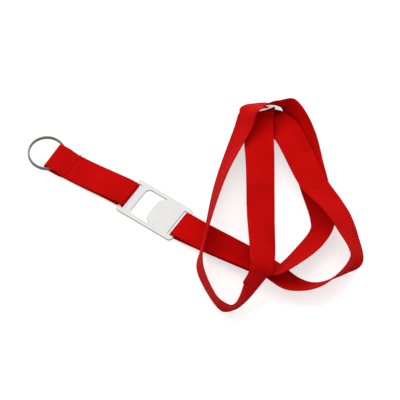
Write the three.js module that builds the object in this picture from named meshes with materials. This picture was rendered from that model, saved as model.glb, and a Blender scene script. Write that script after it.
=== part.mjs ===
// Lanyard: a webbing neck strap, a metal cap opener and a short webbing strap that carries a split key ring.
// Millimetres, +Z up. The origin is on the upper face of the opener plate, which lies level. +X runs along the
// plate from the key ring towards the neck strap, and +Y runs across it.

import * as THREE from 'three';

// Webbing, the same for both straps
const WEB_WIDTH = 20;
const WEB_THICKNESS = 0.9;

// Opener plate
const PLATE_LENGTH = 45;
const PLATE_THICKNESS = 1.5;
const PLATE_CORNER = 2.6;
const PLATE_RAIL = 3.5;         // metal beside each slot's end
const PLATE_BREAK = 0.2;        // broken edge all round
const END_BAR = 2.4;            // bar that a strap is looped round
const SLOT_END_PLAY = 0.75;     // between a strap's edge and the slot's end
const LOOP_PLAY = 0.2;          // between a bar's corner and the strap round it
const SLOT_PLAY = 1.5;          // between that strap and the slot's inner side

// Mouth that takes a bottle cap, with its lifting tooth
const MOUTH_WALL = 4.4;         // metal between the slot and the mouth
const MOUTH_REACH = 11.6;       // from the mouth's wall to the tooth's tip
const MOUTH_RAIL = 3.05;        // metal on each side of the mouth
const MOUTH_CORNER = 3.6;
const TOOTH_HEIGHT = 3.9;
const TOOTH_CHAMFER = 3.0;      // how far each of the tooth's corners is cut back

// Key ring: one wire in two turns that lie on each other
const RING_OUTER_RADIUS = 12.9;
const RING_WIRE = 1.3;
const RING_COIL_GAP = 0.1;
const RING_STEP_ANGLE = 24;     // degrees in which the wire climbs from the lower turn to the upper
const RING_END_GAP = 5;         // degrees between each end of the wire and the climb
const RING_PLAY = 0.3;          // between the ring and the strap above and below it

// Short strap, one closed band looped round a bar and round the ring
const SHORT_STRAP_REACH = 59.6;  // from the bar's centre to the end at the ring
const SHORT_STRAP_DRIFT = -4.0;  // sideways, at the ring
const RING_OVERHANG = 3.7;       // ring's centre beyond the strap's end
const POCKET_DEPTH = 16.6;       // from the strap's end to the stitching that closes the ring's pocket
const LAYER_GAP = 0.6;           // between the two layers at the stitching
const LOWER_LIFT = 1.1;          // lower layer off the table between the bar and the ring

// Stitching rows
const STITCH_HEIGHT = 0.4;
const STITCH_ROW = 1.2;
const STITCH_INSET = 1.2;        // from the webbing's edges
const STITCH_GAP = 0.35;         // clear of the webbing
const JOINT_INSET = 5;           // from the neck strap's upper end to its stitching

// Layout that follows from the sizes above
const SLOT_LENGTH = WEB_WIDTH + 2 * SLOT_END_PLAY;
const PLATE_WIDTH = SLOT_LENGTH + 2 * PLATE_RAIL;
const BAR_X = (PLATE_LENGTH - END_BAR) / 2;
const BAR_Z = -PLATE_THICKNESS / 2;
const LOOP_INNER = Math.hypot(END_BAR / 2, PLATE_THICKNESS / 2) + LOOP_PLAY;
const LOOP_RADIUS = LOOP_INNER + WEB_THICKNESS / 2;
const SLOT_WIDTH = LOOP_INNER + WEB_THICKNESS + SLOT_PLAY - END_BAR / 2;
const TABLE_Z = BAR_Z - LOOP_INNER - WEB_THICKNESS;
const LOW_LAYER = WEB_THICKNESS / 2;
const RING_HEIGHT = 2 * RING_WIRE + RING_COIL_GAP;
const POCKET_INNER = RING_HEIGHT / 2 + RING_PLAY;
const POCKET_RADIUS = POCKET_INNER + WEB_THICKNESS / 2;
const RING_RADIUS = RING_OUTER_RADIUS - RING_WIRE / 2;

// Route of the neck strap from its lower end to its upper end. Each row is [along from the bar, across, height of
// the webbing's middle above the table, heading and lift of the direction from one edge to the other, degrees].
const FIRST_LEG = [
  [62.6, 3.6, 4.4, 90, -21],
  [1.7, 0.0, 0.5, 90, 0],
];
const AROUND_BAR = [-90, -135, -180, -225, -270];
const LOOP_LEG = [
  [16.1, 0.6, 4.4, 92, -1],
  [67.8, 4.1, 6.3, 91, -23],
  [88.8, 3.0, 6.9, 99, -31],
  [102.6, 9.9, 9.0, 130, -50],
  [112.5, 31.9, 10.8, 110, -75],
  [112.5, 42.2, 12.1, 37, -64],
  [99.1, 52.3, 15.9, 58, -45],
  [88.8, 58.1, 18.3, 67, -34],
  [76.3, 64.0, 17.2, 69, -27],
  [57.2, 72.4, 13.5, 73, -14],
  [19.4, 96.7, 9.7, 70, 1],
  [8.5, 99.9, 6.1, 89, 12],
];
const FOLD = { at: [-4.1, 100.7, 5.2], heading: 45, lift: -4, slant: -22, radius: 2.1 };
const LAST_LEG = [
  [0.5, 90.9, 8.8, 22, 11],
  [20.9, 62.8, 14.4, 31, -15],
  [44.2, 29.6, 17.0, 28, -21],
  [66.3, -1.2, 24.1, 28, -35],
  [70.6, -11.1, 25.2, 57, -50],
  [69.2, -18.2, 15.4, 68, -59],
  [67.4, -36.5, 10.5, 114, -67],
  [60.8, -39.6, 10.5, 88, -80],
  [50.3, -36.1, 10.5, 78, -86],
  [31.2, -23.0, 12.5, 160, -71],
  [26.6, -13.7, 16.3, 163, -76],
  [19.7, 3.1, 16.7, -136, -76],
  [3.2, 43.7, 9.8, -156, -63],
  [-6.8, 83.9, 10.1, -171, -45],
  [-9.3, 94.1, 14.0, 167, -41],
  [-7.0, 105.5, 8.3, 148, -48],
  [4.2, 111.6, 10.5, 132, -73],
  [10.4, 112.2, 10.1, -117, -63],
  [20.6, 109.2, 9.3, -141, -60],
  [44.5, 86.0, 5.4, -136, -12],
  [72.2, 60.1, 6.9, -138, -40],
  [79.6, 50.5, 6.4, -162, -36],
  [81.0, 37.2, 6.1, 178, -34],
  [78.9, 10.7, 11.6, 177, -44],
  [74.8, 4.3, 10.8, 122, -37],
  [59.5, 2.3, 8.7, 89, -23],
];

const rad = THREE.MathUtils.degToRad;

function direction(heading, lift) {
  const a = rad(heading);
  const b = rad(lift);
  return new THREE.Vector3(Math.cos(b) * Math.cos(a), Math.cos(b) * Math.sin(a), Math.sin(b));
}

// A station is a middle point and the direction across the webbing there.
function station(x, y, height, across) {
  return { at: new THREE.Vector3(x, y, TABLE_Z + height), across };
}

function neckStations() {
  const legs = (rows) => rows.map(([x, y, h, a, b]) => station(BAR_X + x, y, h, direction(a, b)));
  const bar = AROUND_BAR.map((deg) => {
    const x = BAR_X + LOOP_RADIUS * Math.cos(rad(deg));
    const h = BAR_Z - TABLE_Z + LOOP_RADIUS * Math.sin(rad(deg));
    return station(x, 0, h, new THREE.Vector3(0, 1, 0));
  });
  // The soft fold at the far end is a half turn of a slanted coil.
  const axis = direction(FOLD.heading, FOLD.lift);
  const away = direction(FOLD.heading + 90, 0);
  const up = new THREE.Vector3().crossVectors(axis, away);
  const slant = rad(FOLD.slant);
  const fold = [0, 45, 90, 135, 180].map((deg) => {
    const a = rad(deg);
    const along = (deg / 180 - 0.5) * Math.PI * FOLD.radius * Math.tan(slant);
    const s = station(BAR_X + FOLD.at[0], FOLD.at[1], FOLD.at[2], axis.clone().multiplyScalar(Math.cos(slant)));
    s.at.addScaledVector(away, FOLD.radius * Math.sin(a));
    s.at.addScaledVector(up, -FOLD.radius * Math.cos(a));
    s.at.addScaledVector(axis, along);
    s.across.addScaledVector(away, -Math.sin(slant) * Math.cos(a));
    s.across.addScaledVector(up, -Math.sin(slant) * Math.sin(a));
    return s;
  });
  return [...legs(FIRST_LEG), ...bar, ...legs(LOOP_LEG), ...fold, ...legs(LAST_LEG)];
}

// Smooth curve through the stations, as a list of closely spaced ones.
function smooth(stations, spacing) {
  const numbers = (s) => [...s.at.toArray(), ...s.across.toArray()];
  const rows = stations.map(numbers);
  const last = rows.length - 1;
  const before = rows[0].map((v, k) => 2 * v - rows[1][k]);
  const after = rows[last].map((v, k) => 2 * v - rows[last - 1][k]);
  const all = [before, ...rows, after];
  const gap = (a, b) => Math.max(Math.sqrt(Math.hypot(a[0] - b[0], a[1] - b[1], a[2] - b[2])), 1e-4);
  const out = [];
  for (let i = 1; i <= last; i += 1) {
    const [p0, p1, p2, p3] = all.slice(i - 1, i + 3);
    const d0 = gap(p0, p1);
    const d1 = gap(p1, p2);
    const d2 = gap(p2, p3);
    const steps = Math.max(2, Math.round((d1 * d1) / spacing));
    for (let k = 0; k < steps; k += 1) {
      const t = k / steps;
      const v = p1.map((_, c) => {
        const m1 = d1 * ((p1[c] - p0[c]) / d0 - (p2[c] - p0[c]) / (d0 + d1) + (p2[c] - p1[c]) / d1);
        const m2 = d1 * ((p2[c] - p1[c]) / d1 - (p3[c] - p1[c]) / (d1 + d2) + (p3[c] - p2[c]) / d2);
        const t2 = t * t;
        const t3 = t2 * t;
        return (2 * t3 - 3 * t2 + 1) * p1[c] + (t3 - 2 * t2 + t) * m1 + (3 * t2 - 2 * t3) * p2[c] + (t3 - t2) * m2;
      });
      out.push({ at: new THREE.Vector3(...v.slice(0, 3)), across: new THREE.Vector3(...v.slice(3)) });
    }
  }
  out.push({ at: stations[last].at.clone(), across: stations[last].across.clone() });
  return out;
}

// Gives each point its direction of travel, the direction across square to it, and the face's normal.
function framed(points, closed) {
  const n = points.length;
  return points.map((p, i) => {
    const a = points[closed ? (i + n - 1) % n : Math.max(i - 1, 0)].at;
    const b = points[closed ? (i + 1) % n : Math.min(i + 1, n - 1)].at;
    const along = new THREE.Vector3().subVectors(b, a).normalize();
    const across = p.across.clone().addScaledVector(along, -p.across.dot(along)).normalize();
    return { at: p.at, along, across, face: new THREE.Vector3().crossVectors(along, across) };
  });
}

// Flat webbing along framed points: a rectangular section of six corners, two columns wide.
function webbing(points, closed) {
  const corners = [];
  const half = WEB_WIDTH / 2;
  const thick = WEB_THICKNESS / 2;
  for (const p of points) {
    for (const [side, face] of [[1, 1], [0, 1], [-1, 1], [-1, -1], [0, -1], [1, -1]]) {
      const v = p.at.clone().addScaledVector(p.across, side * half).addScaledVector(p.face, face * thick);
      corners.push(v.x, v.y, v.z);
    }
  }
  const index = [];
  const quad = (a, b, c, d) => index.push(a, b, c, a, c, d);
  const n = points.length;
  for (let i = 0; i < (closed ? n : n - 1); i += 1) {
    const p = i * 6;
    const q = ((i + 1) % n) * 6;
    // Upper and lower columns share one diagonal, so that the webbing keeps its thickness where it twists.
    for (const [a, b] of [[0, 1], [1, 2]]) quad(p + a, p + b, q + b, q + a);
    for (const [a, b] of [[3, 4], [4, 5]]) quad(p + b, q + b, q + a, p + a);
    for (const [a, b] of [[2, 3], [5, 0]]) quad(p + a, p + b, q + b, q + a);
  }
  if (!closed) {
    const e = (n - 1) * 6;
    index.push(0, 5, 1, 5, 4, 1, 1, 4, 2, 4, 3, 2);
    index.push(e, e + 1, e + 5, e + 5, e + 1, e + 4, e + 1, e + 2, e + 4, e + 4, e + 2, e + 3);
  }
  return solid(corners, index);
}

// Closed geometry from corners and triangles, turned right way out if the triangles run inwards.
function solid(corners, index) {
  let volume = 0;
  const at = (k) => new THREE.Vector3(corners[3 * k], corners[3 * k + 1], corners[3 * k + 2]);
  for (let t = 0; t < index.length; t += 3) {
    volume += at(index[t]).dot(at(index[t + 1]).cross(at(index[t + 2])));
  }
  if (volume < 0) index.reverse();
  const geometry = new THREE.BufferGeometry();
  geometry.setAttribute('position', new THREE.Float32BufferAttribute(corners, 3));
  geometry.setIndex(index);
  geometry.computeVertexNormals();
  return geometry;
}

// Smooth step from 0 to 1.
function ease(t) {
  const u = THREE.MathUtils.clamp(t, 0, 1);
  return u * u * (3 - 2 * u);
}

// Short strap in its own length: height of the lower layer's middle above the table.
function lowerLayer(d) {
  const seam = SHORT_STRAP_REACH - POCKET_DEPTH;
  return LOW_LAYER + LOWER_LIFT * ease((d - 2) / 12) * (1 - ease((d - seam - 0.5) / 5.5));
}

// Short strap in its own length: height of the upper layer's middle above the table.
function upperLayer(d) {
  const sewn = LOW_LAYER + LOWER_LIFT + WEB_THICKNESS + LAYER_GAP;
  const atBar = BAR_Z - TABLE_Z + LOOP_RADIUS;
  const atRing = LOW_LAYER + 2 * POCKET_RADIUS;
  const seam = SHORT_STRAP_REACH - POCKET_DEPTH;
  const ringTop = SHORT_STRAP_REACH + RING_OVERHANG - RING_RADIUS;
  const fall = ease((d - 3) / (seam - 6));
  const rise = ease((d - seam - 0.8) / (ringTop - 0.6 - seam));
  return atBar + (sewn - atBar) * fall + (atRing - sewn) * rise;
}

function shortStrapPoints() {
  const reach = SHORT_STRAP_REACH;
  const fold = reach - POCKET_RADIUS - WEB_THICKNESS / 2;
  const placed = (d, h) => {
    const t = THREE.MathUtils.clamp((d - 3) / (reach - 3), 0, 1);
    const y = SHORT_STRAP_DRIFT * (1.5 * t - 0.5 * t * t * t) * 0.98;
    const across = direction(90 + 2.5 * Math.sin(Math.PI * t) + 1.5 * t, 0);
    return station(-BAR_X - d, y, h, across);
  };
  const points = [];
  for (let deg = 90; deg >= -90; deg -= 22.5) {
    const h = BAR_Z - TABLE_Z + LOOP_RADIUS * Math.sin(rad(deg));
    points.push(placed(-LOOP_RADIUS * Math.cos(rad(deg)), h));
  }
  const steps = 34;
  for (let k = 1; k < steps; k += 1) points.push(placed((fold * k) / steps, lowerLayer((fold * k) / steps)));
  for (let deg = -90; deg <= 90; deg += 22.5) {
    const h = LOW_LAYER + POCKET_RADIUS * (1 + Math.sin(rad(deg)));
    points.push(placed(fold + POCKET_RADIUS * Math.cos(rad(deg)), h));
  }
  for (let k = steps - 1; k > 0; k -= 1) points.push(placed((fold * k) / steps, upperLayer((fold * k) / steps)));
  return framed(points, true);
}

// Bar of stitching across the webbing, on the side its face points to or away from it.
function stitching(p, side) {
  const shape = new THREE.BoxGeometry(STITCH_ROW, WEB_WIDTH - 2 * STITCH_INSET, STITCH_HEIGHT);
  const lift = side * (WEB_THICKNESS / 2 + STITCH_GAP + STITCH_HEIGHT / 2);
  const basis = new THREE.Matrix4().makeBasis(p.along, p.across, p.face);
  basis.setPosition(p.at.clone().addScaledVector(p.face, lift));
  return shape.applyMatrix4(basis);
}

// Least distance between stretches of the neck strap's middle surface that lie far apart along it.
function leastGap(points) {
  const spots = [];
  let run = 0;
  points.forEach((p, i) => {
    if (i) run += p.at.distanceTo(points[i - 1].at);
    for (let k = -4; k <= 4; k += 1) {
      spots.push([p.at.clone().addScaledVector(p.across, (k * WEB_WIDTH) / 8), run]);
    }
  });
  let least = Infinity;
  for (let i = 0; i < spots.length; i += 1) {
    for (let j = i + 1; j < spots.length; j += 1) {
      if (Math.abs(spots[i][1] - spots[j][1]) > 1.5 * WEB_WIDTH) {
        least = Math.min(least, spots[i][0].distanceToSquared(spots[j][0]));
      }
    }
  }
  return Math.sqrt(least) - WEB_THICKNESS;
}

function plateGeometry() {
  const b = PLATE_BREAK;
  const hx = PLATE_LENGTH / 2 - b;
  const hy = PLATE_WIDTH / 2 - b;
  const r = PLATE_CORNER;
  const rounded = (path, x0, x1, y0, y1, rr) => {
    path.moveTo(x0 + rr, y0);
    path.lineTo(x1 - rr, y0);
    path.absarc(x1 - rr, y0 + rr, rr, -Math.PI / 2, 0, false);
    path.lineTo(x1, y1 - rr);
    path.absarc(x1 - rr, y1 - rr, rr, 0, Math.PI / 2, false);
    path.lineTo(x0 + rr, y1);
    path.absarc(x0 + rr, y1 - rr, rr, Math.PI / 2, Math.PI, false);
    path.lineTo(x0, y0 + rr);
    path.absarc(x0 + rr, y0 + rr, rr, Math.PI, 1.5 * Math.PI, false);
    return path;
  };
  const outline = rounded(new THREE.Shape(), -hx, hx, -hy, hy, r);
  const slotOuter = PLATE_LENGTH / 2 - END_BAR + b;
  const slotInner = PLATE_LENGTH / 2 - END_BAR - SLOT_WIDTH - b;
  const slotHalf = SLOT_LENGTH / 2 + b;
  const slotRound = SLOT_WIDTH * 0.3;
  outline.holes.push(rounded(new THREE.Path(), slotInner, slotOuter, -slotHalf, slotHalf, slotRound));
  outline.holes.push(rounded(new THREE.Path(), -slotOuter, -slotInner, -slotHalf, slotHalf, slotRound));
  // The mouth, with the tooth standing into it from the side nearer the neck strap
  const wall = -PLATE_LENGTH / 2 + END_BAR + SLOT_WIDTH + MOUTH_WALL - b;
  const tip = wall + MOUTH_REACH + b;
  const root = tip + TOOTH_HEIGHT;
  const side = PLATE_WIDTH / 2 - MOUTH_RAIL + b;
  const c = MOUTH_CORNER;
  const mouth = new THREE.Path();
  mouth.moveTo(wall + c, -side);
  mouth.lineTo(root - 0.6, -side);
  mouth.quadraticCurveTo(root + 0.4, -side, root, -side + 0.9);
  mouth.lineTo(tip + 0.5, -side + TOOTH_CHAMFER + 0.4);
  mouth.quadraticCurveTo(tip, -side + TOOTH_CHAMFER + 0.7, tip, -side + TOOTH_CHAMFER + 1.4);
  mouth.quadraticCurveTo(tip - 0.7, 0, tip, side - TOOTH_CHAMFER - 1.4);
  mouth.quadraticCurveTo(tip, side - TOOTH_CHAMFER - 0.7, tip + 0.5, side - TOOTH_CHAMFER - 0.4);
  mouth.lineTo(root, side - 0.9);
  mouth.quadraticCurveTo(root + 0.4, side, root - 0.6, side);
  mouth.lineTo(wall + c, side);
  mouth.absarc(wall + c, side - c, c, Math.PI / 2, Math.PI, false);
  mouth.lineTo(wall, -side + c);
  mouth.absarc(wall + c, -side + c, c, Math.PI, 1.5 * Math.PI, false);
  outline.holes.push(mouth);
  const geometry = new THREE.ExtrudeGeometry(outline, {
    depth: PLATE_THICKNESS - 2 * b, bevelEnabled: true, bevelThickness: b, bevelSize: b, bevelSegments: 1,
    curveSegments: 7,
  });
  return geometry.translate(0, 0, -PLATE_THICKNESS + b);
}

function ringGeometry() {
  // Two flat turns: the wire climbs by one turn's height within a short angle.
  const start = RING_STEP_ANGLE / 2 + RING_END_GAP;
  const total = 720 - 2 * start;
  const rise = RING_WIRE + RING_COIL_GAP;
  const sides = 8;
  const runs = 112;
  const corners = [];
  const index = [];
  for (let i = 0; i <= runs; i += 1) {
    const deg = start + (total * i) / runs;
    const u = THREE.MathUtils.clamp((deg - 360) / RING_STEP_ANGLE + 0.5, 0, 1);
    const h = rise * u * u * (3 - 2 * u);
    const out = new THREE.Vector3(Math.cos(rad(deg)), Math.sin(rad(deg)), 0);
    const middle = out.clone().multiplyScalar(RING_RADIUS);
    for (let k = 0; k < sides; k += 1) {
      const a = (2 * Math.PI * (k + 0.5)) / sides;
      const v = middle.clone().addScaledVector(out, (RING_WIRE / 2) * Math.cos(a));
      corners.push(v.x, v.y, RING_WIRE / 2 + h + (RING_WIRE / 2) * Math.sin(a));
    }
    if (i < runs) {
      for (let k = 0; k < sides; k += 1) {
        const a = i * sides + k;
        const b = i * sides + ((k + 1) % sides);
        index.push(a, b, b + sides, a, b + sides, a + sides);
      }
    }
  }
  const end = runs * sides;
  for (let k = 1; k < sides - 1; k += 1) {
    index.push(0, k + 1, k, end, end + k, end + k + 1);
  }
  return solid(corners, index);
}

const RED = 0xc60d12;
const fabric = () => new THREE.MeshStandardMaterial({ color: RED, roughness: 0.85, metalness: 0 });
const thread = () => new THREE.MeshStandardMaterial({ color: 0xa80a10, roughness: 0.7, metalness: 0 });
const steel = (color, roughness) => new THREE.MeshStandardMaterial({ color, roughness, metalness: 0.9 });

function piece(name, geometry, material) {
  const mesh = new THREE.Mesh(geometry, material);
  mesh.name = name;
  return mesh;
}

const part = new THREE.Group();

const neck = framed(smooth(neckStations(), 3.2), false);
const neckLength = neck.reduce((sum, p, i) => (i ? sum + p.at.distanceTo(neck[i - 1].at) : 0), 0);
console.log(`neck strap length ${neckLength.toFixed(1)} mm, least gap to itself ${leastGap(neck).toFixed(2)} mm`);
part.add(piece('neck_strap', webbing(neck, false), fabric()));

let fromEnd = 0;
let joint = neck.length - 1;
while (fromEnd < JOINT_INSET) {
  fromEnd += neck[joint].at.distanceTo(neck[joint - 1].at);
  joint -= 1;
}
part.add(piece('neck_strap_stitching', stitching(neck[joint], Math.sign(neck[joint].face.z)), thread()));

part.add(piece('opener_plate', plateGeometry(), steel(0xe6e5e3, 0.4)));

const short = shortStrapPoints();
part.add(piece('short_strap', webbing(short, true), fabric()));

const seamX = -BAR_X - SHORT_STRAP_REACH + POCKET_DEPTH;
const onTop = short.filter((p) => p.at.z > TABLE_Z + WEB_THICKNESS + LOWER_LIFT);
const sewn = onTop.reduce((best, p) => (Math.abs(p.at.x - seamX) < Math.abs(best.at.x - seamX) ? p : best));
part.add(piece('short_strap_stitching', stitching(sewn, Math.sign(sewn.face.z)), thread()));

const ring = piece('key_ring', ringGeometry(), steel(0xa9a9a7, 0.25));
ring.position.set(
  -BAR_X - SHORT_STRAP_REACH - RING_OVERHANG,
  SHORT_STRAP_DRIFT - 0.2,
  TABLE_Z + WEB_THICKNESS + RING_PLAY,
);
part.add(ring);

export default part;
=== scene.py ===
import math

import bmesh
import bpy
import numpy as np
from mathutils import Matrix, Vector


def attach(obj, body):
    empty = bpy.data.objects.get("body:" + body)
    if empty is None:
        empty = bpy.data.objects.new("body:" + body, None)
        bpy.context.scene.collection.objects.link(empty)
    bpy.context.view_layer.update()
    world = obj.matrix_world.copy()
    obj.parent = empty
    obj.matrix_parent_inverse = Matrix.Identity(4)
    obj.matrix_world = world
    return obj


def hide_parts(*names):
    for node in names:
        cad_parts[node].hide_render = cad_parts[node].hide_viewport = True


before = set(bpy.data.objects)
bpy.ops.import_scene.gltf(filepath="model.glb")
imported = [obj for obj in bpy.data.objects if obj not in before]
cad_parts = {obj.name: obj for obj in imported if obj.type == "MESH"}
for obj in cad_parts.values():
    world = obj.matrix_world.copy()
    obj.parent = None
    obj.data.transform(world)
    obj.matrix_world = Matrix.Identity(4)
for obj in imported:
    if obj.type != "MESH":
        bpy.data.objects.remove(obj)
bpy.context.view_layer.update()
MM = 0.001

# Sizes in millimetres, as the solids have them
WEB_W, WEB_T = 20.0, 0.9
PLATE_L, PLATE_T, PLATE_CORNER, PLATE_RAIL = 45.0, 1.5, 2.6, 3.5
END_BAR, LOOP_PLAY, SLOT_PLAY, SLOT_END_PLAY, SLOT_ROUND = 2.4, 0.2, 1.5, 0.75, 0.3
MOUTH_WALL, MOUTH_REACH, MOUTH_RAIL, MOUTH_CORNER = 4.4, 11.6, 3.05, 3.6
TOOTH_HEIGHT, TOOTH_CHAMFER = 3.9, 3.0
RING_OUT, WIRE, COIL_GAP, RING_PLAY, RING_SHIFT = 12.9, 1.3, 0.1, 0.3, -0.2
REACH, DRIFT, OVERHANG, POCKET = 59.6, -4.0, 3.7, 16.6
LAYER_GAP, LOWER_LIFT = 0.6, 1.1

# Sizes that follow from them
SLOT_L = WEB_W + 2 * SLOT_END_PLAY
PLATE_W = SLOT_L + 2 * PLATE_RAIL
BAR_X = (PLATE_L - END_BAR) / 2
BAR_Z = -PLATE_T / 2
LOOP_IN = math.hypot(END_BAR / 2, PLATE_T / 2) + LOOP_PLAY
LOOP_R = LOOP_IN + WEB_T / 2
SLOT_W = LOOP_IN + WEB_T + SLOT_PLAY - END_BAR / 2
TABLE = BAR_Z - LOOP_IN - WEB_T
LOW = WEB_T / 2
POCKET_R = (2 * WIRE + COIL_GAP) / 2 + RING_PLAY + WEB_T / 2
RING_R = RING_OUT - WIRE / 2

# Camera, in metres
TARGET = Vector((20.75, 23.3, 0.0)) * MM
TO_CAMERA = Vector((0.2958, -0.4288, 0.8535)).normalized()
RIGHT = Vector((0.8231, 0.5678, 0.0)).normalized()
VIEW_WIDTH, CAMERA_DISTANCE, CLIP_END = 0.2667, 8.0, 100.0
SENSOR = 36.0           # millimetres

cam_data = bpy.data.cameras.new("camera")
cam_data.sensor_width = SENSOR
cam_data.clip_end = CLIP_END
cam_data.lens = SENSOR * CAMERA_DISTANCE / VIEW_WIDTH
cam = bpy.data.objects.new("camera", cam_data)
bpy.context.scene.collection.objects.link(cam)
turn = Matrix((RIGHT, TO_CAMERA.cross(RIGHT), TO_CAMERA)).transposed().to_4x4()
cam.matrix_world = Matrix.Translation(TARGET + TO_CAMERA * CAMERA_DISTANCE) @ turn
bpy.context.scene.camera = cam

# Neck strap's route
# [along from the bar, across, height of the middle above the table, heading and lift across the webbing]
FIRST_LEG = [
    [62.6, 3.6, 4.4, 90, -21],
    [1.7, 0.0, 0.5, 90, 0],
]
AROUND_BAR = [-90, -135, -180, -225, -270]
LOOP_LEG = [
    [16.1, 0.6, 4.4, 92, -1],
    [67.8, 4.1, 6.3, 91, -23],
    [88.8, 3.0, 6.9, 99, -31],
    [102.6, 9.9, 9.0, 130, -50],
    [112.5, 31.9, 10.8, 110, -75],
    [112.5, 42.2, 12.1, 37, -64],
    [99.1, 52.3, 15.9, 58, -45],
    [88.8, 58.1, 18.3, 67, -34],
    [76.3, 64.0, 17.2, 69, -27],
    [57.2, 72.4, 13.5, 73, -14],
    [19.4, 96.7, 9.7, 70, 1],
    [8.5, 99.9, 6.1, 89, 12],
]
FOLD_AT, FOLD_HEADING, FOLD_LIFT, FOLD_SLANT, FOLD_R = (-4.1, 100.7, 5.2), 45, -4, -22, 2.1
AROUND_FOLD = [0, 45, 90, 135, 180]
LAST_LEG = [
    [0.5, 90.9, 8.8, 22, 11],
    [20.9, 62.8, 14.4, 31, -15],
    [44.2, 29.6, 17.0, 28, -21],
    [66.3, -1.2, 24.1, 28, -35],
    [70.6, -11.1, 25.2, 57, -50],
    [69.2, -18.2, 15.4, 68, -59],
    [67.4, -36.5, 10.5, 114, -67],
    [60.8, -39.6, 10.5, 88, -80],
    [50.3, -36.1, 10.5, 78, -86],
    [31.2, -23.0, 12.5, 160, -71],
    [26.6, -13.7, 16.3, 163, -76],
    [19.7, 3.1, 16.7, -136, -76],
    [3.2, 43.7, 9.8, -156, -63],
    [-6.8, 83.9, 10.1, -171, -45],
    [-9.3, 94.1, 14.0, 167, -41],
    [-7.0, 105.5, 8.3, 148, -48],
    [4.2, 111.6, 10.5, 132, -73],
    [10.4, 112.2, 10.1, -117, -63],
    [20.6, 109.2, 9.3, -141, -60],
    [44.5, 86.0, 5.4, -136, -12],
    [72.2, 60.1, 6.9, -138, -40],
    [79.6, 50.5, 6.4, -162, -36],
    [81.0, 37.2, 6.1, 178, -34],
    [78.9, 10.7, 11.6, 177, -44],
    [74.8, 4.3, 10.8, 122, -37],
    [59.5, 2.3, 8.7, 89, -23],
]
ROUTE_SAMPLES = 40      # between two stations
SHORTEST = 1e-4         # least root of the distance between two stations
STEP = 0.4              # millimetres from one row of the webbing's mesh to the next


def direction(heading, lift):
    a, b = math.radians(heading), math.radians(lift)
    return np.array([math.cos(b) * math.cos(a), math.cos(b) * math.sin(a), math.sin(b)])


def ease(t):
    """From 0 to 1 with a soft start and end."""
    u = min(max(t, 0.0), 1.0)
    return u * u * (3 - 2 * u)


def neck_stations():
    """Place and direction across the webbing at each station, row by row."""
    def legs(rows):
        return [np.concatenate([[BAR_X + x, y, TABLE + h], direction(a, b)]) for x, y, h, a, b in rows]

    bar = []
    for deg in AROUND_BAR:
        a = math.radians(deg)
        bar.append(np.array([BAR_X + LOOP_R * math.cos(a), 0, BAR_Z + LOOP_R * math.sin(a), 0, 1, 0]))
    axis = direction(FOLD_HEADING, FOLD_LIFT)
    away = direction(FOLD_HEADING + 90, 0)
    rise = np.cross(axis, away)
    s = math.radians(FOLD_SLANT)
    middle = np.array([BAR_X + FOLD_AT[0], FOLD_AT[1], TABLE + FOLD_AT[2]])
    fold = []
    for deg in AROUND_FOLD:
        a = math.radians(deg)
        p = middle + FOLD_R * (math.sin(a) * away - math.cos(a) * rise)
        p = p + axis * (deg / 180 - 0.5) * math.pi * FOLD_R * math.tan(s)
        w = math.cos(s) * axis - math.sin(s) * (math.cos(a) * away + math.sin(a) * rise)
        fold.append(np.concatenate([p, w]))
    return np.array(legs(FIRST_LEG) + bar + legs(LOOP_LEG) + fold + legs(LAST_LEG))


def smooth(rows):
    """Centripetal curve through the stations."""
    ends = np.vstack([2 * rows[0] - rows[1], rows, 2 * rows[-1] - rows[-2]])
    t = (np.arange(ROUTE_SAMPLES) / ROUTE_SAMPLES)[:, None]
    out = []
    for i in range(1, len(ends) - 2):
        p0, p1, p2, p3 = ends[i - 1:i + 3]
        spans = (p1 - p0, p2 - p1, p3 - p2)
        d0, d1, d2 = (max(np.linalg.norm(span[:3]) ** 0.5, SHORTEST) for span in spans)
        m1 = d1 * ((p1 - p0) / d0 - (p2 - p0) / (d0 + d1) + (p2 - p1) / d1)
        m2 = d1 * ((p2 - p1) / d1 - (p3 - p1) / (d1 + d2) + (p3 - p2) / d2)
        out.append((2 * t**3 - 3 * t**2 + 1) * p1 + (t**3 - 2 * t**2 + t) * m1
                   + (3 * t**2 - 2 * t**3) * p2 + (t**3 - t**2) * m2)
    return np.vstack(out + [rows[-1:]])


def even(rows, closed=False):
    """Rows at even distances, and each one's length along the route."""
    if closed:
        rows = np.vstack([rows, rows[:1]])
    run = np.concatenate([[0], np.cumsum(np.linalg.norm(np.diff(rows[:, :3], axis=0), axis=1))])
    count = int(round(run[-1] / STEP))
    at = np.linspace(0, run[-1], count + 1)
    if closed:
        at = at[:-1]
    return np.stack([np.interp(at, run, rows[:, k]) for k in range(rows.shape[1])], 1), at


def framed(rows, closed):
    """Points, and the directions along, across and out of the webbing."""
    p, w = rows[:, :3], rows[:, 3:6]
    if closed:
        along = np.roll(p, -1, 0) - np.roll(p, 1, 0)
    else:
        along = np.gradient(p, axis=0)
    along = along / np.linalg.norm(along, axis=1)[:, None]
    w = w - (w * along).sum(1)[:, None] * along
    w = w / np.linalg.norm(w, axis=1)[:, None]
    return p, along, w, np.cross(along, w)


# Mesh helpers
UV_MM = 100             # millimetres of webbing in one unit of its UV map
RIB, RIB_DEPTH = 2.1, 0.06          # millimetres from rib to rib, and from a rib's top to the groove
SELVEDGE, SELVEDGE_IN, SELVEDGE_HALF_T, SELVEDGE_RIB = 0.35, 0.08, 0.72, 0.5
ACROSS = (-0.75, -0.5, -0.25, 0, 0.25, 0.5, 0.75)
THREAD_SIDES = 8
STEEP = 0.9             # from this upward share on, a thread's start counts as upright


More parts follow.
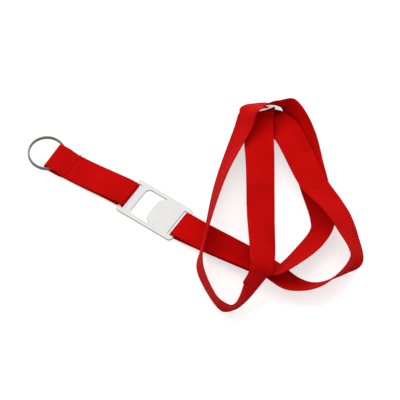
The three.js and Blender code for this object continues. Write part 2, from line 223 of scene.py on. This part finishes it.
def new_object(name, verts, faces, uvs=None):
    mesh = bpy.data.meshes.new(name)
    mesh.from_pydata([tuple(v) for v in verts], [], faces)
    if uvs is not None:
        layer = mesh.uv_layers.new(name="UVMap")
        for poly in mesh.polygons:
            for k, loop in enumerate(poly.loop_indices):
                layer.data[loop].uv = uvs[poly.index][k]
    mesh.polygons.foreach_set("use_smooth", [True] * len(mesh.polygons))
    mesh.update()
    obj = bpy.data.objects.new(name, mesh)
    bpy.context.scene.collection.objects.link(obj)
    return obj


def turn_faces_out(obj):
    bm = bmesh.new()
    bm.from_mesh(obj.data)
    bmesh.ops.recalc_face_normals(bm, faces=bm.faces)
    bm.to_mesh(obj.data)
    bm.free()


def skin(count, sides, closed=False):
    """Faces between count rows of vertices, each row going once round the piece."""
    faces = []
    for i in range(count if closed else count - 1):
        a, b = i * sides, (i + 1) % count * sides
        for k in range(sides):
            k2 = (k + 1) % sides
            faces.append((a + k, a + k2, b + k2, b + k))
    return faces


def round_ends(count, sides):
    return [tuple(range(sides))[::-1], tuple((count - 1) * sides + k for k in range(sides))]


def ribbon(name, rows, run, closed, body, node):
    """Woven band with ribs across it and rounded selvedges."""
    p, along, w, n = framed(rows, closed)
    half, thick = WEB_W / 2, WEB_T / 2
    flat, side = half - SELVEDGE, half - SELVEDGE_IN
    section = [(u, thick) for u in [-flat] + [q * half for q in ACROSS] + [flat]]
    top = len(section)
    section += [(side, thick * SELVEDGE_HALF_T), (half, 0), (side, -thick * SELVEDGE_HALF_T)]
    section += [(-u, -t) for u, t in section]
    m, count = len(section), len(p)
    rib = -RIB_DEPTH * (0.5 + 0.5 * np.cos(2 * np.pi * run / RIB))
    verts = []
    for i in range(count):
        for u, t in section:
            if abs(t) == thick:
                t += rib[i] * (1 if t > 0 else -1)
            else:
                u += SELVEDGE_RIB * rib[i] * (1 if u > 0 else -1)
            verts.append((p[i] + w[i] * u + n[i] * t) * MM)

    girth = [0.0]
    for k in range(m):
        girth.append(girth[-1] + math.dist(section[k], section[(k + 1) % m]))
    faces, uvs = skin(count, m, closed), []
    step = run[1] - run[0]
    for i in range(count if closed else count - 1):
        s0, s1 = run[i] / UV_MM, (run[i] + step) / UV_MM
        for k in range(m):
            v0, v1 = girth[k] / UV_MM, girth[k + 1] / UV_MM
            uvs.append(((s0, v0), (s0, v1), (s1, v1), (s1, v0)))
    if not closed:
        # each cut end is a row of four-sided faces and one five-sided face at either selvedge
        under = 2 * top + 2
        loops = [(k, under - k, under - 1 - k, k + 1) for k in range(top - 1)]
        loops += [(top - 1, top + 3, top + 2, top + 1, top), (0, m - 1, m - 2, m - 3, m - 4)]
        for base, flip in ((0, False), ((count - 1) * m, True)):
            for loop in loops:
                face = tuple(base + v for v in loop)
                faces.append(face[::-1] if flip else face)
                uvs.append(((0, 0),) * len(loop))
    obj = new_object(name, verts, faces, uvs)
    turn_faces_out(obj)
    obj.data.materials.append(WEBBING)
    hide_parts(node)
    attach(obj, body)
    return obj, (p, along, w, n)


def tube(points, radius):
    """Vertices and faces of a round thread along points, in metres."""
    pts = np.asarray(points, float)
    t = np.gradient(pts, axis=0)
    t /= np.linalg.norm(t, axis=1)[:, None]
    ref = np.array([0, 0, 1.0]) if abs(t[0][2]) < STEEP else np.array([1.0, 0, 0])
    u = np.cross(t[0], ref)
    u /= np.linalg.norm(u)
    verts = []
    for i in range(len(pts)):
        u = u - (u @ t[i]) * t[i]
        u /= np.linalg.norm(u)
        v = np.cross(t[i], u)
        for k in range(THREAD_SIDES):
            a = 2 * math.pi * k / THREAD_SIDES
            verts.append(pts[i] + radius * (math.cos(a) * u + math.sin(a) * v))
    return verts, skin(len(pts), THREAD_SIDES) + round_ends(len(pts), THREAD_SIDES)


# Node helpers
def cleared(owner, output):
    """Emptied node tree of a material or the world, and a new output node in it."""
    owner.use_nodes = True
    tree = owner.node_tree
    tree.nodes.clear()
    return tree, tree.nodes.new(output)


def add(tree, kind, **values):
    node = tree.nodes.new(kind)
    for key, value in values.items():
        if hasattr(node, key):
            setattr(node, key, value)
        else:
            node.inputs[key].default_value = value
    return node


def maths(tree, operation, *values):
    """Result of a math node; each value is a number or the socket that it comes from."""
    node = add(tree, "ShaderNodeMath", operation=operation)
    for socket, value in zip(node.inputs, values):
        if isinstance(value, float):
            socket.default_value = value
        else:
            tree.links.new(value, socket)
    return node.outputs[0]


def ramp(tree, factor, stops):
    node = tree.nodes.new("ShaderNodeValToRGB")
    for element, (at, colour) in zip(node.color_ramp.elements, stops):
        element.position = at
        element.color = (*colour, 1.0)
    tree.links.new(factor, node.inputs[0])
    return node.outputs[0]


def noise(tree, where, scale, detail):
    node = add(tree, "ShaderNodeTexNoise", Scale=scale, Detail=detail)
    tree.links.new(where, node.inputs["Vector"])
    return node.outputs["Fac"]


def mapped(tree, value, start, end, low, high, kind="LINEAR"):
    """The value, with start to end taken to low to high."""
    node = add(tree, "ShaderNodeMapRange", interpolation_type=kind)
    ends = {"From Min": start, "From Max": end, "To Min": low, "To Max": high}
    for name, number in ends.items():
        node.inputs[name].default_value = number
    tree.links.new(value, node.inputs["Value"])
    return node.outputs[0]


def bump(tree, bsdf, height, strength, distance):
    node = add(tree, "ShaderNodeBump", Strength=strength, Distance=distance)
    tree.links.new(height, node.inputs["Height"])
    tree.links.new(node.outputs[0], bsdf.inputs["Normal"])


def seen(tree):
    """1 for rays from the camera, by reflection and through glass, and 0 for the others."""
    path = add(tree, "ShaderNodeLightPath")
    bounced = maths(tree, "MAXIMUM", path.outputs["Is Glossy Ray"], path.outputs["Is Transmission Ray"])
    return maths(tree, "MAXIMUM", path.outputs["Is Camera Ray"], bounced)


# Materials
WARP = 0.42             # millimetres from one thread of the webbing to the next
WARP_HEIGHT, FUZZ_HEIGHT = 0.35, 0.4        # beside 1 for a rib
MIX_A, MIX_B, MIX_RESULT = 6, 7, 2          # places of the colour sockets of a mix node
GROOVE_SHADE_SHARE = 0.6       # painted shade in a thread's grooves, as a share of its colour, beside 1 for its tops
LYING, STANDING = 0.97, 0.45        # upward share of the normal on a flat face and on an edge; the painted edge shade fades in between them


def principled(name):
    mat = bpy.data.materials.new(name)
    tree, out = cleared(mat, "ShaderNodeOutputMaterial")
    bsdf = tree.nodes.new("ShaderNodeBsdfPrincipled")
    tree.links.new(bsdf.outputs[0], out.inputs[0])
    return mat, tree, bsdf


def webbing_material():
    mat, t, bsdf = principled("webbing")
    uv = add(t, "ShaderNodeUVMap", uv_map="UVMap")
    sep = add(t, "ShaderNodeSeparateXYZ")
    t.links.new(uv.outputs[0], sep.inputs[0])
    where = add(t, "ShaderNodeTexCoord").outputs["Object"]

    def wave(axis, period):
        angle = maths(t, "MULTIPLY", sep.outputs[axis], 2 * math.pi * UV_MM / period)
        return maths(t, "MULTIPLY_ADD", maths(t, "COSINE", angle), 0.5, 0.5)

    grooves = wave(0, RIB)
    warp = wave(1, WARP)
    dye = ramp(t, noise(t, where, scale=55.0, detail=3.0),
               [(0.3, (0.50, 0.0018, 0.0014)), (0.7, (0.62, 0.0030, 0.0022))])
    # painted shade: the grooves between the ribs are darker in the base colour
    painted_rib_shade = ramp(t, grooves, [(0.0, (1.0, 1.0, 1.0)), (1.0, (0.87, 0.83, 0.83))])
    both = add(t, "ShaderNodeMix", data_type="RGBA", blend_type="MULTIPLY")
    both.inputs["Factor"].default_value = 1.0
    t.links.new(dye, both.inputs[MIX_A])
    t.links.new(painted_rib_shade, both.inputs[MIX_B])
    t.links.new(both.outputs[MIX_RESULT], bsdf.inputs["Base Color"])

    ribs = maths(t, "SUBTRACT", 1.0, grooves)
    woven = maths(t, "MULTIPLY_ADD", warp, WARP_HEIGHT, ribs)
    fuzz = noise(t, where, scale=2600.0, detail=2.0)
    fuzzy = maths(t, "MULTIPLY_ADD", fuzz, FUZZ_HEIGHT, woven)
    bump(t, bsdf, fuzzy, strength=0.55, distance=0.00012)
    bsdf.inputs["Roughness"].default_value = 0.8
    bsdf.inputs["Specular IOR Level"].default_value = 0.045
    bsdf.inputs["Sheen Weight"].default_value = 0.02
    bsdf.inputs["Sheen Roughness"].default_value = 0.4
    bsdf.inputs["Sheen Tint"].default_value = (1.0, 0.25, 0.22, 1.0)
    return mat


def thread_material(name, colour):
    mat, t, bsdf = principled(name)
    where = add(t, "ShaderNodeTexCoord").outputs["Object"]
    twist = add(t, "ShaderNodeTexWave", bands_direction="DIAGONAL", Scale=1400.0, Distortion=2.0)
    t.links.new(where, twist.inputs["Vector"])
    # painted shade: the twist's grooves are darker in the base colour
    painted_twist_shade = tuple(GROOVE_SHADE_SHARE * c for c in colour)
    tone = ramp(t, twist.outputs["Fac"], [(0.0, painted_twist_shade), (1.0, colour)])
    t.links.new(tone, bsdf.inputs["Base Color"])
    bump(t, bsdf, twist.outputs["Fac"], strength=0.4, distance=0.00005)
    bsdf.inputs["Roughness"].default_value = 0.8
    bsdf.inputs["Specular IOR Level"].default_value = 0.05
    return mat


def metal_material(name, light, dark, edge, rough, scale, bump_by):
    """Metal with a fine grain; faces that don't lie flat go down to the edge colour, a painted shade and
    reflection.
    """
    mat, t, bsdf = principled(name)
    geo = add(t, "ShaderNodeTexCoord")
    cloud = noise(t, geo.outputs["Object"], scale, detail=5.0)
    tone = ramp(t, cloud, [(0.35, dark), (0.65, light)])
    # painted shade and reflection: the less a face's normal points up, the more it takes the edge colour
    facing = add(t, "ShaderNodeSeparateXYZ")
    t.links.new(geo.outputs["Normal"], facing.inputs[0])
    upward = maths(t, "ABSOLUTE", facing.outputs["Z"])
    flat = mapped(t, upward, STANDING, LYING, 0.0, 1.0, "SMOOTHSTEP")
    painted_edge_shade = add(t, "ShaderNodeMix", data_type="RGBA")
    painted_edge_shade.inputs[MIX_A].default_value = (*edge, 1.0)
    t.links.new(flat, painted_edge_shade.inputs["Factor"])
    t.links.new(tone, painted_edge_shade.inputs[MIX_B])
    t.links.new(painted_edge_shade.outputs[MIX_RESULT], bsdf.inputs["Base Color"])

    stretch = add(t, "ShaderNodeMapping", Scale=(0.08, 1.0, 1.0))
    t.links.new(geo.outputs["Object"], stretch.inputs["Vector"])
    grain = noise(t, stretch.outputs[0], scale=900.0, detail=3.0)
    t.links.new(mapped(t, grain, 0.0, 1.0, rough * 0.85, rough * 1.2), bsdf.inputs["Roughness"])
    bump(t, bsdf, grain, strength=bump_by, distance=0.00003)
    bsdf.inputs["Metallic"].default_value = 1.0
    return mat


WEBBING = webbing_material()
THREAD = thread_material("thread", (0.40, 0.003, 0.003))
TAIL = thread_material("thread_tail", (0.12, 0.09, 0.09))
# the edge colours are painted shade and reflection on the faces that stand up
PLATE = metal_material("plate_metal", light=(0.835, 0.83, 0.815), dark=(0.81, 0.805, 0.79),
                       edge=(0.22, 0.23, 0.21), rough=0.34, scale=120.0, bump_by=0.06)
STEEL = metal_material("ring_steel", light=(0.36, 0.36, 0.34), dark=(0.24, 0.24, 0.225),
                       edge=(0.04, 0.045, 0.04), rough=0.2, scale=300.0, bump_by=0.05)

# Neck strap
neck_rows, neck_run = even(smooth(neck_stations()))
neck, neck_strap = ribbon("neck_webbing", neck_rows, neck_run, False, "neck_loop_body", "neck_strap")

# Short strap, by the distance d from the plate's bar
LIFT_FROM, LIFT_OVER = 2, 12
SETTLE_FROM, SETTLE_OVER = 0.5, 5.5
FALL_MARGIN, CLIMB_FROM, CLIMB_CUT = 3, 0.8, 0.6
DRIFT_FROM, DRIFT_SHARE = 3, 0.98
TURN_MIDWAY, TURN_AT_RING = 2.5, 1.5
BEND_STEP, LOWER_ROWS, UPPER_ROWS = 9.0, 60, 100


def lower_layer(d):
    """Height above the table: up after the bar, down again past the seam."""
    settled = ease((d - REACH + POCKET - SETTLE_FROM) / SETTLE_OVER)
    return LOW + LOWER_LIFT * ease((d - LIFT_FROM) / LIFT_OVER) * (1 - settled)


def upper_layer(d):
    """Height above the table: down from the bar to the seam, then up over the ring."""
    sewn = LOW + LOWER_LIFT + WEB_T + LAYER_GAP
    at_bar = BAR_Z - TABLE + LOOP_R
    at_ring = LOW + 2 * POCKET_R
    seam = REACH - POCKET
    ring_top = REACH + OVERHANG - RING_R
    fall = ease((d - FALL_MARGIN) / (seam - 2 * FALL_MARGIN))
    rise = ease((d - seam - CLIMB_FROM) / (ring_top - CLIMB_CUT - seam))
    return at_bar + (sewn - at_bar) * fall + (at_ring - sewn) * rise


def short_route():
    """The band's rows: round the bar, along below, round the ring, back above."""
    def placed(d, h):
        t = min(max((d - DRIFT_FROM) / (REACH - DRIFT_FROM), 0.0), 1.0)
        y = DRIFT * (1.5 * t - 0.5 * t ** 3) * DRIFT_SHARE
        heading = 90 + TURN_MIDWAY * math.sin(math.pi * t) + TURN_AT_RING * t
        return np.concatenate([[-BAR_X - d, y, TABLE + h], direction(heading, 0)])

    fold = REACH - POCKET_R - WEB_T / 2
    rows = []
    for deg in np.arange(90, -91, -BEND_STEP):
        a = math.radians(deg)
        rows.append(placed(-LOOP_R * math.cos(a), BAR_Z - TABLE + LOOP_R * math.sin(a)))
    for k in range(1, LOWER_ROWS):
        d = fold * k / LOWER_ROWS
        rows.append(placed(d, lower_layer(d)))
    for deg in np.arange(-90, 91, BEND_STEP):
        a = math.radians(deg)
        rows.append(placed(fold + POCKET_R * math.cos(a), LOW + POCKET_R * (1 + math.sin(a))))
    for k in range(UPPER_ROWS - 1, 0, -1):
        d = fold * k / UPPER_ROWS
        rows.append(placed(d, upper_layer(d)))
    return np.array(rows)


short_rows, short_run = even(short_route(), closed=True)
short, short_strap = ribbon("short_webbing", short_rows, short_run, True, "short_strap_body", "short_strap")

# Stitching, in millimetres
THREAD_R = 0.16
STITCH_INSET = 1.4
ARCH_POWER, ARCH_RISE, ARCH_SINK, ARCH_POINTS = 0.6, 1.1, 1.2, 9
JOINT_FROM_END = 5.0
TAIL_R, TAIL_INSET, TAIL_POINTS = 0.24, 0.2, 25
TAIL_ROUTE = [[0.1, -0.8, 0.2], [0.1, 0.3, 0.4], [0.2, 0.9, 0.7], [0.4, 1.4, 0.7], [0.7, 1.8, 0.5]]


def stitches(name, threads, body, node):
    """Short arched threads, each from a start to an end, both on the webbing's face that looks up."""
    radius = THREAD_R * MM
    verts, faces = [], []
    for a, b, upward in threads:
        pts = []
        for t in np.linspace(0, 1, ARCH_POINTS):
            arch = math.sin(math.pi * t) ** ARCH_POWER * radius * ARCH_RISE - radius * ARCH_SINK
            pts.append(a + (b - a) * t + upward * arch)
        v, f = tube(pts, radius)
        off = len(verts)
        verts += v
        faces += [tuple(off + k for k in q) for q in f]
    obj = new_object(name, verts, faces)
    obj.data.materials.append(THREAD)
    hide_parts(node)
    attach(obj, body)


def stitch_rows(strap, at, rows, pitch, share, zig):
    """Starts, ends and outward directions of threads in rows across the strap."""
    p, along, w, n = (v[at] for v in strap)
    side = 1.0 if n[2] > 0 else -1.0
    span = WEB_W / 2 - STITCH_INSET
    base = p + n * side * (WEB_T / 2)
    out = []
    for r in rows:
        for k in range(int(2 * span / pitch)):
            u0 = -span + pitch * k + pitch * (1 - share) / 2
            u1 = u0 + pitch * share
            shift = zig if k % 2 else -zig
            a = base + w * u0 + along * (r - shift)
            b = base + w * u1 + along * (r + shift)
            out.append((a * MM, b * MM, n * side))
    return out


short_path, short_across = short_strap[0], short_strap[2]
top = [i for i in range(len(short_path)) if short_path[i][2] > TABLE + WEB_T + LOWER_LIFT]
seam_x = -BAR_X - REACH + POCKET
at = min(top, key=lambda i: abs(short_path[i][0] - seam_x))
threads = stitch_rows(short_strap, at, rows=(-0.3, 0.35), pitch=1.5, share=0.86, zig=0.0)
stitches("short_seam", threads, "short_strap_body", "short_strap_stitching")

joint = int(np.searchsorted(neck_run, neck_run[-1] - JOINT_FROM_END))
threads = stitch_rows(neck_strap, joint, rows=(-2.4, 0.0, 2.4), pitch=0.9, share=0.95, zig=0.55)
stitches("neck_seam", threads, "neck_loop_body", "neck_strap_stitching")

# Loose end of thread at the far edge of the short strap's seam
far = 1.0 if short_across[at][1] > 0 else -1.0
base = short_path[at] + short_across[at] * (WEB_W / 2 - TAIL_INSET) * far
bends = base + np.array(TAIL_ROUTE)
run = np.linspace(0, len(bends) - 1, TAIL_POINTS)
line = np.stack([np.interp(run, range(len(bends)), bends[:, k]) for k in range(3)], 1)
v, f = tube(line * MM, TAIL_R * MM)
tail = new_object("seam_thread_end", v, f)
tail.data.materials.append(TAIL)
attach(tail, "short_strap_body")

# Opener plate
ARC_STEPS, BEND_POINTS, TIP_POINTS = 10, 6, 12
PLATE_EDGE, EDGE_STEPS, PLATE_SHARP = 0.2, 3, 35
SAME_POINT = 1e-6
FOOT_IN, FOOT_OUT, FOOT_UP = 0.6, 0.4, 0.9          # the tooth's blend into the mouth's rail
TIP_IN, TIP_START, TIP_TURN, TIP_END, TIP_BULGE = 0.5, 0.4, 0.7, 1.4, 0.7


def arc(cx, cy, r, a0, a1):
    out = []
    for k in range(ARC_STEPS + 1):
        a = math.radians(a0 + (a1 - a0) * k / ARC_STEPS)
        out.append((cx + r * math.cos(a), cy + r * math.sin(a)))
    return out


def rounded(x0, x1, y0, y1, r):
    return (arc(x1 - r, y0 + r, r, -90, 0) + arc(x1 - r, y1 - r, r, 0, 90)
            + arc(x0 + r, y1 - r, r, 90, 180) + arc(x0 + r, y0 + r, r, 180, 270))


def bend(a, c, b, count=BEND_POINTS):
    """Curve from a to b that heads for c."""
    return [((1 - t) ** 2 * a[0] + 2 * t * (1 - t) * c[0] + t * t * b[0],
             (1 - t) ** 2 * a[1] + 2 * t * (1 - t) * c[1] + t * t * b[1]) for t in np.linspace(0, 1, count)]


def plate_outlines(b):
    """Outer outline and the three holes, drawn in by the width b of the rounded edge."""
    outer = rounded(-PLATE_L / 2 + b, PLATE_L / 2 - b, -PLATE_W / 2 + b, PLATE_W / 2 - b, PLATE_CORNER)
    slot_out = PLATE_L / 2 - END_BAR + b
    slot_in = PLATE_L / 2 - END_BAR - SLOT_W - b
    half, r = SLOT_L / 2 + b, SLOT_W * SLOT_ROUND
    slots = [rounded(slot_in, slot_out, -half, half, r), rounded(-slot_out, -slot_in, -half, half, r)]

    wall = -PLATE_L / 2 + END_BAR + SLOT_W + MOUTH_WALL - b
    tip = wall + MOUTH_REACH + b
    root = tip + TOOTH_HEIGHT
    rail, c = PLATE_W / 2 - MOUTH_RAIL + b, MOUTH_CORNER
    near = -rail + TOOTH_CHAMFER
    tip_y = near + TIP_END
    side = bend((root - FOOT_IN, -rail), (root + FOOT_OUT, -rail), (root, -rail + FOOT_UP))
    side += bend((tip + TIP_IN, near + TIP_START), (tip, near + TIP_TURN), (tip, tip_y))
    end = bend((tip, tip_y), (tip - TIP_BULGE, 0), (tip, -tip_y), TIP_POINTS)
    mouth = side + end[1:-1] + [(x, -y) for x, y in reversed(side)]
    mouth += arc(wall + c, rail - c, c, 90, 180) + arc(wall + c, -rail + c, c, 180, 270)
    return [outer] + slots + [mouth]


def plate_object():
    curve = bpy.data.curves.new("opener_outline", "CURVE")
    curve.dimensions = "2D"
    curve.fill_mode = "BOTH"
    for pts in plate_outlines(PLATE_EDGE):
        spline = curve.splines.new("POLY")
        keep = [q for k, q in enumerate(pts) if math.dist(q, pts[k - 1]) > SAME_POINT]
        spline.points.add(len(keep) - 1)
        for point, q in zip(spline.points, keep):
            point.co = (q[0] * MM, q[1] * MM, 0, 1)
        spline.use_cyclic_u = True
    curve.extrude = (PLATE_T / 2 - PLATE_EDGE) * MM
    curve.bevel_depth = PLATE_EDGE * MM
    curve.bevel_resolution = EDGE_STEPS
    temp = bpy.data.objects.new("opener_outline", curve)
    bpy.context.scene.collection.objects.link(temp)
    bpy.context.view_layer.update()
    mesh = bpy.data.meshes.new_from_object(temp.evaluated_get(bpy.context.evaluated_depsgraph_get()))
    mesh.transform(Matrix.Translation((0, 0, BAR_Z * MM)))
    bpy.data.objects.remove(temp)
    mesh.name = "opener_metal"
    obj = bpy.data.objects.new("opener_metal", mesh)
    bpy.context.scene.collection.objects.link(obj)
    mesh.materials.clear()
    mesh.materials.append(PLATE)
    mesh.shade_smooth()
    mesh.set_sharp_from_angle(angle=math.radians(PLATE_SHARP))
    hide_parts("opener_plate")
    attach(obj, "opener")


plate_object()

# Key ring, angles in degrees
CLIMB, END_GAP = 24.0, 5.0          # the wire's change of level, and the gap between that and each end
RING_ROWS, RING_SIDES, RING_SHARP = 420, 20, 50
SQUARED = 2.6           # 2 is a round wire, more is flatter where the turns lie on each other
WIRE_ENDS = (0.86, 0.97)            # radius at the last two rows of either end


def ring_object():
    centre = np.array([-BAR_X - REACH - OVERHANG, DRIFT + RING_SHIFT, TABLE + WEB_T + RING_PLAY])
    start = CLIMB / 2 + END_GAP
    total = 720 - 2 * start
    verts = []
    for i in range(RING_ROWS + 1):
        deg = start + total * i / RING_ROWS
        h = (WIRE + COIL_GAP) * ease((deg - 360) / CLIMB + 0.5)
        out = direction(deg, 0)
        from_end = min(i, RING_ROWS - i)
        r = WIRE / 2 * (WIRE_ENDS[from_end] if from_end < len(WIRE_ENDS) else 1.0)
        for k in range(RING_SIDES):
            a = 2 * math.pi * k / RING_SIDES
            cu, cv = math.cos(a), math.sin(a)
            sq = (abs(cu) ** SQUARED + abs(cv) ** SQUARED) ** (-1 / SQUARED)
            up = np.array([0, 0, WIRE / 2 + h + r * cv * sq])
            verts.append((centre + out * (RING_R + r * cu * sq) + up) * MM)
    faces = skin(RING_ROWS + 1, RING_SIDES) + round_ends(RING_ROWS + 1, RING_SIDES)
    obj = new_object("split_ring", verts, faces)
    turn_faces_out(obj)
    obj.data.materials.append(STEEL)
    obj.data.set_sharp_from_angle(angle=math.radians(RING_SHARP))
    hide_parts("key_ring")
    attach(obj, "ring")


ring_object()

# Floor, in metres; it glows only where it is seen
FLOOR_HALF, FLOOR_DROP = 3, 0.02 * MM
FLOOR_TONE, FLOOR_GLOW = 0.72, 0.6

floor_mesh = bpy.data.meshes.new("floor")
z = TABLE * MM - FLOOR_DROP
corners = [(x * FLOOR_HALF, y * FLOOR_HALF, z) for x, y in ((-1, -1), (1, -1), (1, 1), (-1, 1))]
floor_mesh.from_pydata(corners, [], [(0, 1, 2, 3)])
floor = bpy.data.objects.new("floor", floor_mesh)
bpy.context.scene.collection.objects.link(floor)

white = bpy.data.materials.new("floor_white")
t, out = cleared(white, "ShaderNodeOutputMaterial")
diffuse = add(t, "ShaderNodeBsdfDiffuse", Color=(FLOOR_TONE, FLOOR_TONE, FLOOR_TONE, 1))
glow = add(t, "ShaderNodeEmission")
t.links.new(maths(t, "MULTIPLY", seen(t), FLOOR_GLOW), glow.inputs["Strength"])
both = add(t, "ShaderNodeAddShader")
t.links.new(diffuse.outputs[0], both.inputs[0])
t.links.new(glow.outputs[0], both.inputs[1])
t.links.new(both.outputs[0], out.inputs[0])
floor_mesh.materials.append(white)

# World: white where it is seen, weaker as light
AMBIENT = 0.64

world = bpy.data.worlds.new("world")
bpy.context.scene.world = world
t, out = cleared(world, "ShaderNodeOutputWorld")
back = add(t, "ShaderNodeBackground", Color=(1, 1, 1, 1))
t.links.new(mapped(t, seen(t), 0.0, 1.0, AMBIENT, 1.0), back.inputs["Strength"])
t.links.new(back.outputs[0], out.inputs[0])

# One large soft lamp, high beyond the top of the picture and a little to the left
AHEAD = Vector((-0.5678, 0.8231, 0.0))
LAMP_LEFT, LAMP_AHEAD, LAMP_UP = 0.12, 0.6, 0.75
LAMP_SIZE, LAMP_ENERGY, LAMP_DISTANCE = 1.7, 9.5, 1.1

to_light = (-LAMP_LEFT * RIGHT + LAMP_AHEAD * AHEAD + LAMP_UP * Vector((0, 0, 1))).normalized()
lamp = bpy.data.lights.new("key", "AREA")
lamp.shape = "DISK"
lamp.size = LAMP_SIZE
lamp.energy = LAMP_ENERGY
key = bpy.data.objects.new("key", lamp)
bpy.context.scene.collection.objects.link(key)
key.location = TARGET + to_light * LAMP_DISTANCE
key.visible_glossy = False
key.rotation_euler = to_light.to_track_quat("Z", "Y").to_euler()

bpy.context.scene.view_settings.view_transform = "Standard"
